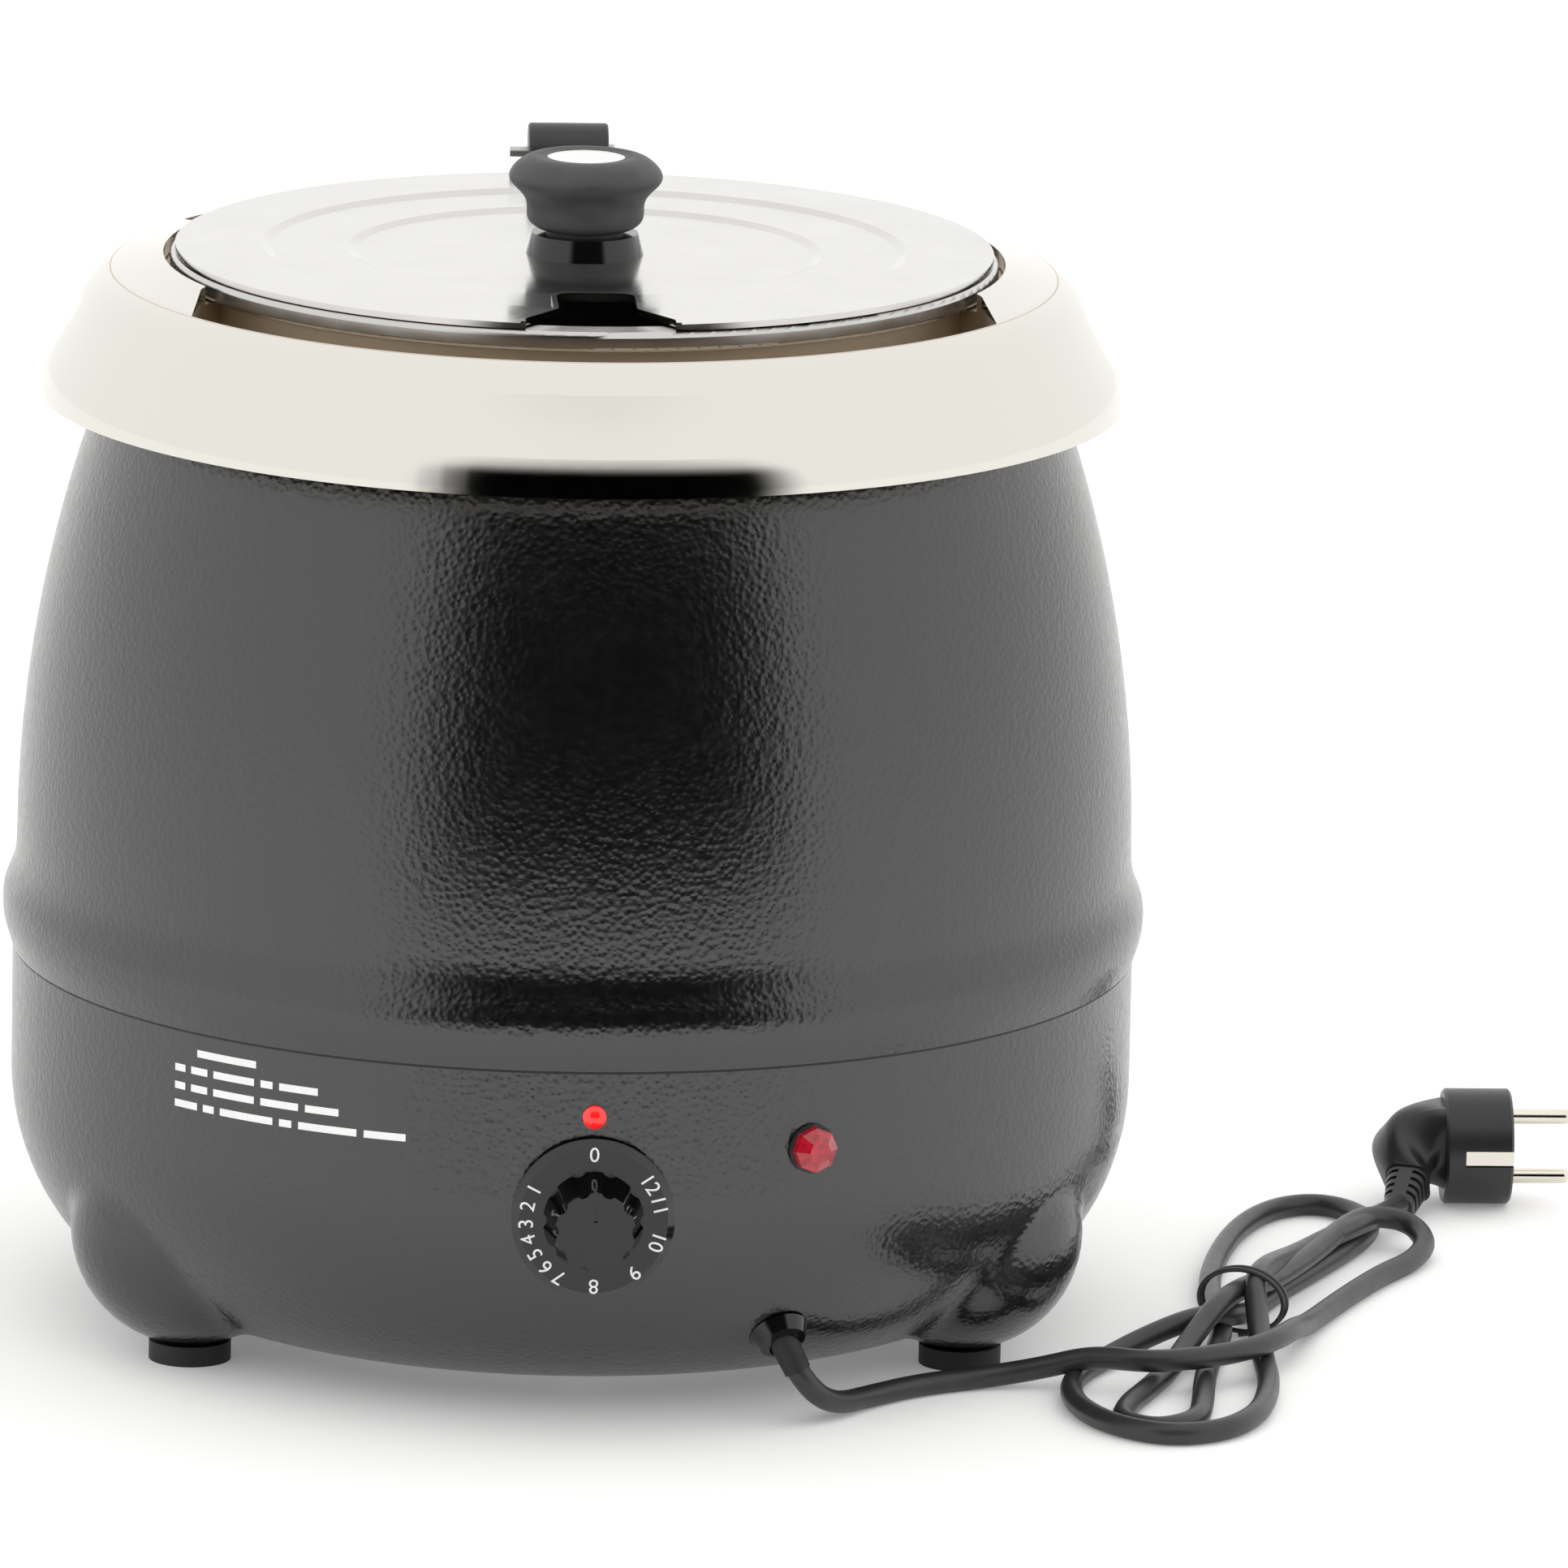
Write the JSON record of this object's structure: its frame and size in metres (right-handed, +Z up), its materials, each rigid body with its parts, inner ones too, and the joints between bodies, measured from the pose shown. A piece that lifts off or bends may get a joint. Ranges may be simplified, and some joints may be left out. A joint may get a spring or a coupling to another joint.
{
  "type": "electric soup kettle",
  "caption": "Wet-heat soup kettle with a lift-out pot, hinged lid with ladle notch, thermostat dial, rounded casing on feet and a mains lead tied in a hank.",
  "frame": {"origin": "on the kettle's axis, on the surface that its feet stand on", "axes": "+Z up along the kettle's axis, -Y towards the front with the dial, +X towards the side where the cord lies"},
  "size_m": [0.4905, 0.3599, 0.3543],
  "materials": {
    "casing": "black leather-grain powder coat",
    "polished": "mirror-polished stainless steel",
    "stainless": "drawn stainless steel",
    "zinc": "zinc-plated steel",
    "black_plastic": "moulded black plastic",
    "gloss_black": "gloss black plastic",
    "knob_grey": "dark grey soft-touch plastic",
    "cap_silver": "satin",
    "rubber": "moulded rubber",
    "cord_rubber": "smooth rubber sheath",
    "silicone": "silicone",
    "red_lens": "clear red acrylic",
    "heater": "heat-darkened steel tube",
    "ceramic": "white moulded",
    "plug_metal": "nickel-plated brass"
  },
  "bodies": {
    "casing": {"outer_shell": "casing", "lower_shell": "casing", "top_ring": "polished", "water_well": "stainless", "base_plate": "zinc", "plate_screws": "zinc", "foot_nuts": "zinc", "flange_screws": "zinc", "thermostat_nut": "zinc", "pilot_nut": "zinc", "heater_clamp": "zinc", "clamp_bolt": "zinc", "heat_shield": "zinc", "tie_rod_left": "zinc", "tie_rod_right": "zinc", "tie_rod_rear": "zinc", "cord_tie": "zinc", "index_lamp_body": "black_plastic", "pilot_lamp_body": "black_plastic", "cable_gland": "black_plastic", "plug_body": "black_plastic", "plug_boot": "black_plastic", "foot_left": "rubber", "foot_right": "rubber", "foot_rear": "rubber", "seam_gasket": "rubber", "strain_relief": "rubber", "cord_lead": "cord_rubber", "cord_hank": "cord_rubber", "cord_tail": "cord_rubber", "rim_gasket": "silicone", "index_lens": "red_lens", "pilot_jewel": "red_lens", "heating_element": "heater", "capillary": "heater", "thermostat": "ceramic", "thermal_cutout": "ceramic", "terminal_block": "ceramic", "plug_pins": "plug_metal", "plug_earth_clips": "plug_metal"},
    "pot": {"inner_pot": "stainless", "hinge_base": "black_plastic", "clip_screw": "zinc", "hinge_pin": "zinc"},
    "lid": {"lid": "polished", "hinge_leaf": "black_plastic", "leaf_rivets": "zinc", "knob_collar": "gloss_black", "knob": "knob_grey", "knob_cap": "cap_silver", "knob_screw": "zinc"},
    "dial": {"dial": "gloss_black", "thermostat_spindle": "zinc"}
  },
  "joints": [
    {"name": "pot_lift", "type": "slide", "parent": "casing", "child": "pot", "axis": [0, 0, 1], "range_m": [0, 0.25]},
    {"name": "lid_hinge", "type": "hinge", "parent": "pot", "child": "lid", "pos_m": [0, 0.131, 0.331], "axis": [-1, 0, 0], "range_deg": [0, 100]},
    {"name": "dial_turn", "type": "hinge", "parent": "casing", "child": "dial", "pos_m": [0, -0.169, 0.07], "axis": [0, 1, 0], "range_deg": [0, 304]}
  ]
}
